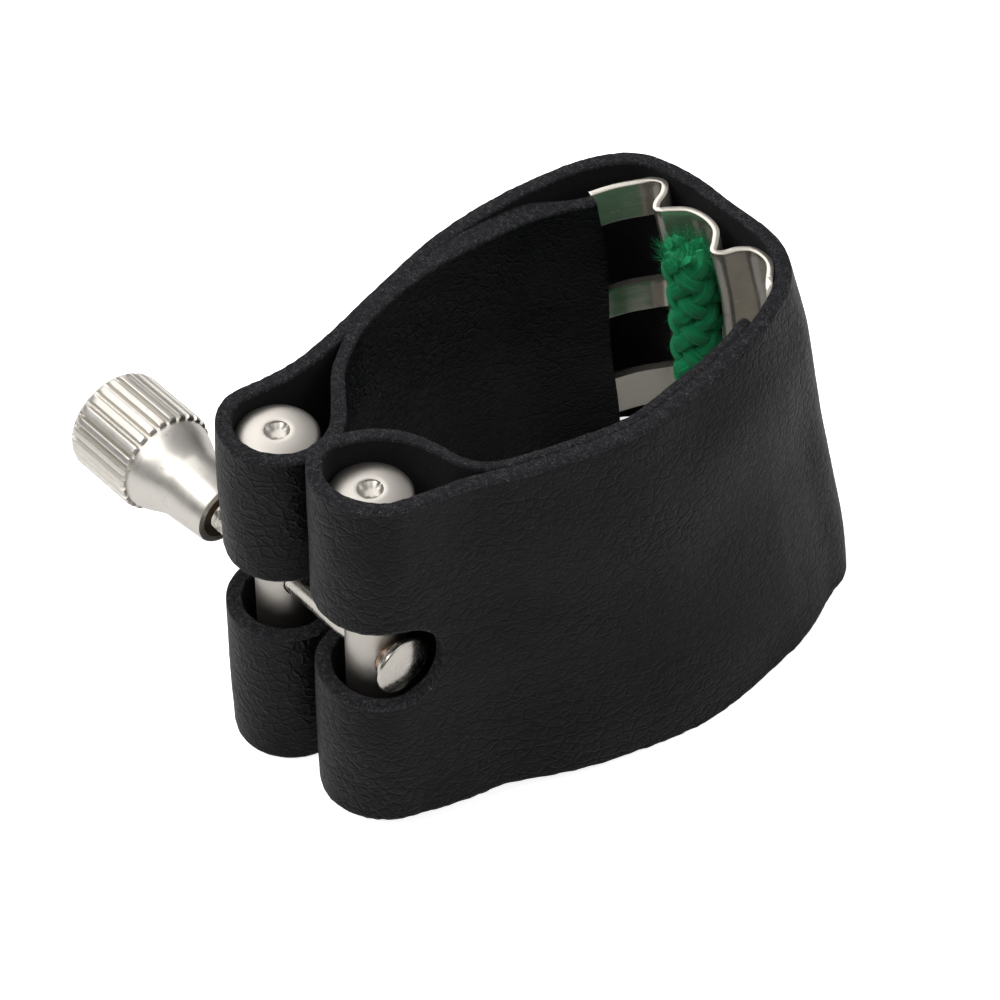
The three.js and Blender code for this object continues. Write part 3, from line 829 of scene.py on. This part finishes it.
def rounded_prism(x0, x1, z0, z1, corner=0.5):
    outline = []
    for cx, cz, a0 in ((x1, z1, 0), (x0, z1, 90), (x0, z0, 180), (x1, z0, 270)):
        for a in np.radians(np.linspace(a0, a0 + 90, 7)):
            outline.append((cx - corner * np.sign(cx - (x0 + x1) / 2) + corner * math.cos(a),
                            cz - corner * np.sign(cz - (z0 + z1) / 2) + corner * math.sin(a)))
    patches = Patches()
    rings = [[(x, y, z) for x, z in outline] for y in (8.0, 24.0)]
    patches.grid(rings, close_across=True)
    for ring in rings:
        patches.fan(ring, np.mean(ring, 0))
    return link(bpy.data.objects.new("cutter", patches.welded("cutter", weld=1e-5)))


def reed_plate():
    mirror_x = np.array([-1, 1])
    right = spline(CHANNEL + RIGHT_WING, 0.16, before=(-1.3, 18.0))
    left = spline(CHANNEL + LEFT_WING, 0.16, before=(-1.3, 18.0))
    left = left[left[:, 1] > 14.0]
    right = right[right[:, 1] > 13.3]
    line = np.vstack([left[1:][::-1] * mirror_x, right]) + [PLATE_X, 0]
    low, high = PLATE_Z
    normal = left_normals(line)
    # the right wing's upper corner slopes down to its end
    slope = 2.0 * (1 - smooth(line[:, 1], 15.3, 17.5)) * (line[:, 0] > 3.5)
    up = np.linspace(0, 1, 30)
    patches = Patches()
    faces = []
    for offset in (PLATE_THICKNESS / 2, -PLATE_THICKNESS / 2):
        tops = zip(line + normal * offset, high - slope)
        faces.append(np.array([[(x, y, low + h * (top - low)) for h in up] for (x, y), top in tops]))
    for rows in faces:
        patches.grid(rows)
    for end in (0, -1):
        patches.grid([faces[0][:, end], faces[1][:, end]])
        patches.grid([faces[0][end, :], faces[1][end, :]])
    sheet = link(bpy.data.objects.new("reed_plate_sheet", patches.welded("reed_plate_sheet", weld=1e-5)))
    for window in plate_windows():
        cut_with(sheet, rounded_prism(*window))
    bevel = sheet.modifiers.new("bevel", "BEVEL")
    bevel.width, bevel.segments, bevel.angle_limit = 0.07, 2, math.radians(50)
    dg = bpy.context.evaluated_depsgraph_get()
    me = bpy.data.meshes.new_from_object(sheet.evaluated_get(dg))
    bpy.data.objects.remove(sheet)
    me.materials.clear()
    obj = finish_mesh(me, "reed_plate_sheet", [SHEET], shape=flare, sharp=30)
    add_piece(obj, "band_back", "reed_plate")


reed_plate()


# ------------------------------------------------------------------ cord
def cord():
    rng = random.Random(5)
    bottom, top = CORD_Z
    ring, per_way, turn, around = 1.22, 4, 0.60, 20
    patches = Patches()
    strands = []
    seeds, outs = [], []
    for way in (-1, 1):
        for k in range(per_way):
            zs = np.arange(bottom, top + rng.uniform(-0.5, 0.3), 0.09)
            phi = way * turn * zs + 2 * math.pi * k / per_way
            lift = way * 0.20 * np.cos(per_way * turn * zs)
            r = ring + lift
            path = np.stack([CORD_X + r * np.cos(phi), CORD_Y + r * np.sin(phi), zs], 1)
            tangent = np.gradient(path, axis=0)
            tangent /= np.linalg.norm(tangent, axis=1)[:, None]
            out = np.stack([np.cos(phi), np.sin(phi), np.zeros(len(zs))], 1)
            out -= tangent * (out * tangent).sum(1)[:, None]
            out /= np.linalg.norm(out, axis=1)[:, None]
            across = np.cross(tangent, out)
            rings = []
            for i in range(len(zs)):
                a = np.linspace(0, 2 * math.pi, around + 1)[:-1]
                ply = 1 + 0.09 * np.cos(5 * a - 1.6 * zs[i])
                fade = 1 - 0.35 * smooth(zs[i], top - 0.6, top)
                rings.append(path[i] + (across[i] * (0.66 * np.cos(a) * ply * fade)[:, None]
                                        + out[i] * (0.44 * np.sin(a) * ply * fade)[:, None]))
                if rng.random() < 0.9:
                    b = rng.uniform(-1.2, 1.2)
                    seeds.append(path[i] + across[i] * 0.6 * math.sin(b) + out[i] * 0.42 * math.cos(b))
                    outs.append(tangent[i] * rng.choice((-1, 1)) * 1.4 + out[i] * 0.7)
            strands.append((len(patches.points), rings, zs))
            patches.grid(rings, 0, close_across=True)
            patches.fan(rings[0], np.mean(rings[0], 0))
            patches.fan(rings[-1], np.mean(rings[-1], 0))
    core = rounded([(bottom + 0.2, 0), (bottom + 0.2, 1.2), (top - 0.5, 1.2), (top - 0.35, 0)], 0.2)
    turned(patches, core, 32, lambda p: p + np.array([CORD_X, CORD_Y, 0]))
    place_uv = [(0.0, 0.0, 0.0)] * len(patches.points)
    for start, rings, zs in strands:
        for i, z in enumerate(zs):
            for j in range(around):
                place_uv[start + i * around + j] = (z, 2 * j / around, 0.0)
    hair_start = len(patches.points)
    fibres(patches, seeds, outs, rng, 0.55, 0.014, slot=1)
    crown, ups = [], []
    for _ in range(520):
        a, r = rng.uniform(0, 2 * math.pi), 1.75 * math.sqrt(rng.random())
        crown.append((CORD_X + r * math.cos(a), CORD_Y + r * math.sin(a), top - 0.35))
        ups.append((0.5 * math.cos(a) * r / 1.75, 0.5 * math.sin(a) * r / 1.75, 1.0))
    fibres(patches, crown, ups, rng, 1.0, 0.02, slot=1, lean=0.9)
    place_uv += [(0.0, 0.0, 0.0)] * (len(patches.points) - hair_start)
    me = patches.raw("reed_cord_braid")
    strand = me.attributes.new("strand", "FLOAT_VECTOR", "POINT")
    strand.data.foreach_set("vector", np.array(place_uv, np.float32).ravel())
    obj = finish_mesh(me, "reed_cord_braid", [YARN, YARN_FUZZ], shape=flare, sharp=80)
    add_piece(obj, "band_back", "reed_cord")


cord()


# ------------------------------------------------------------------ stage, light and camera
def stage():
    me = bpy.data.meshes.new("floor")
    corners = [(-3, -3, 0), (3, -3, 0), (3, 3, 0), (-3, 3, 0)]
    me.from_pydata(corners, [], [(0, 1, 2, 3)])
    material, n, s = new_material("white_sweep")
    n.put(s.inputs["Base Color"], rgb(0.93, 0.93, 0.93))
    n.put(s.inputs["Roughness"], 0.9)
    seen = n.add("ShaderNodeLightPath").outputs["Is Camera Ray"]
    n.put(s.inputs["Emission Color"], rgb(1, 1, 1))
    n.put(s.inputs["Emission Strength"], n.math("MULTIPLY", seen, 0.8))
    me.materials.append(material)
    floor = bpy.data.objects.new("floor", me)
    floor.location.z = -0.05 * MM
    link(floor)


def towards(azimuth, elevation):
    """Unit vector from the object towards a viewer, azimuth 0 being -Y."""
    a, e = math.radians(azimuth), math.radians(elevation)
    return Vector((math.sin(a) * math.cos(e), -math.cos(a) * math.cos(e), math.sin(e)))


def softbox(name, azimuth, elevation, distance, size, power):
    light = bpy.data.lights.new(name, "AREA")
    light.shape, light.size, light.size_y, light.energy = "RECTANGLE", size[0], size[1], power
    obj = bpy.data.objects.new(name, light)
    target = Vector(to_row([(0, 0, 14)])[0])
    direction = towards(azimuth, elevation)
    obj.location = target + direction * distance
    obj.rotation_euler = (-direction).to_track_quat("-Z", "Y").to_euler()
    link(obj)


def world():
    w = bpy.data.worlds.new("studio")
    bpy.context.scene.world = w
    w.use_nodes = True
    n = Nodes(w.node_tree)
    background = w.node_tree.nodes["Background"]
    direction = n.add("ShaderNodeTexCoord").outputs["Generated"]
    upward = n.add("ShaderNodeSeparateXYZ", {0: direction}).outputs["Z"]
    background.inputs["Color"].default_value = rgb(1.0, 1.0, 1.0)
    n.put(background.inputs["Strength"], n.fit(upward, 0.1, 0.75, 0.10, 0.42))


def camera():
    back = towards(48.14, 46.57)
    distance = 300.0
    data = bpy.data.cameras.new("camera")
    data.sensor_width, data.lens = 36.0, 159.192
    data.clip_start, data.clip_end = 0.01, 10.0
    cam = link(bpy.data.objects.new("camera", data))
    cam.location = Vector(to_row([(1.55, -2.67, 17.0)])[0]) + back * distance * MM
    cam.rotation_mode = "QUATERNION"
    cam.rotation_quaternion = (-back).to_track_quat("-Z", "Y")
    bpy.context.scene.camera = cam


stage()
softbox("key", -20, 62, 0.6, (0.5, 0.5), 2.6)
softbox("side", -110, 35, 0.6, (0.4, 0.6), 1.3)
softbox("fill", 110, 40, 0.7, (0.5, 0.5), 0.9)
world()
camera()
bpy.context.scene.view_settings.view_transform = "Standard"
